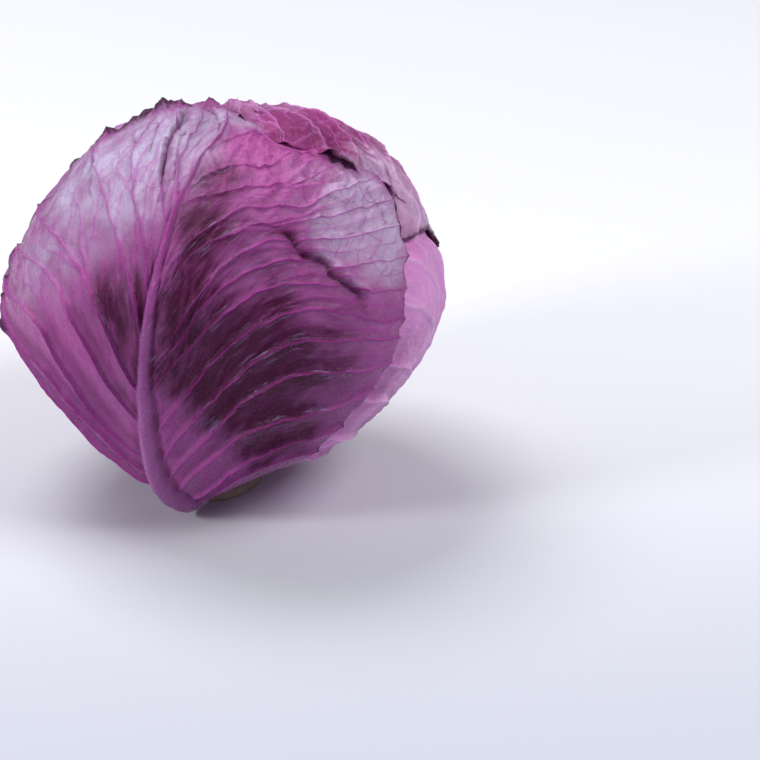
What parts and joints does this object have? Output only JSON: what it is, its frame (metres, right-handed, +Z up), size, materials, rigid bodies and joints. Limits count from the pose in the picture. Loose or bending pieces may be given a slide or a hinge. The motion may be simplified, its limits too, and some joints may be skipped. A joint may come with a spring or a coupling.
{
  "type": "red cabbage",
  "caption": "Whole round head of red cabbage: large veined wrapper leaves folded over tight inner leaves, standing on the flat cut end of its stem.",
  "frame": {"origin": "centre of the flat cut end of the stem, on the floor", "axes": "+Z up along the stem, -Y the front with the large veined leaf, +X the head's right-hand side seen from the front"},
  "size_m": [0.1663, 0.1583, 0.1527],
  "materials": {
    "wrapper_leaf": "waxy satin leaf, plum to lilac, with magenta veins",
    "inner_leaf": "smooth satin leaf, magenta fading to pale lilac towards the heart",
    "stem": "matte, fibrous, pale cream, browned at the cut"
  },
  "bodies": {
    "root": {"stem": "stem", "wrapper_leaf_back_right": "wrapper_leaf", "wrapper_leaf_front": "wrapper_leaf", "wrapper_leaf_left": "wrapper_leaf", "wrapper_leaf_right": "wrapper_leaf", "wrapper_leaf_back": "wrapper_leaf", "wrapper_leaf_left_under": "wrapper_leaf", "inner_leaf_01": "inner_leaf", "inner_leaf_02": "inner_leaf", "inner_leaf_03": "inner_leaf", "inner_leaf_04": "inner_leaf", "inner_leaf_05": "inner_leaf", "inner_leaf_06": "inner_leaf", "inner_leaf_07": "inner_leaf", "inner_leaf_08": "inner_leaf", "inner_leaf_09": "inner_leaf", "inner_leaf_10": "inner_leaf", "inner_leaf_11": "inner_leaf", "inner_leaf_12": "inner_leaf", "heart": "inner_leaf"}
  },
  "joints": []
}
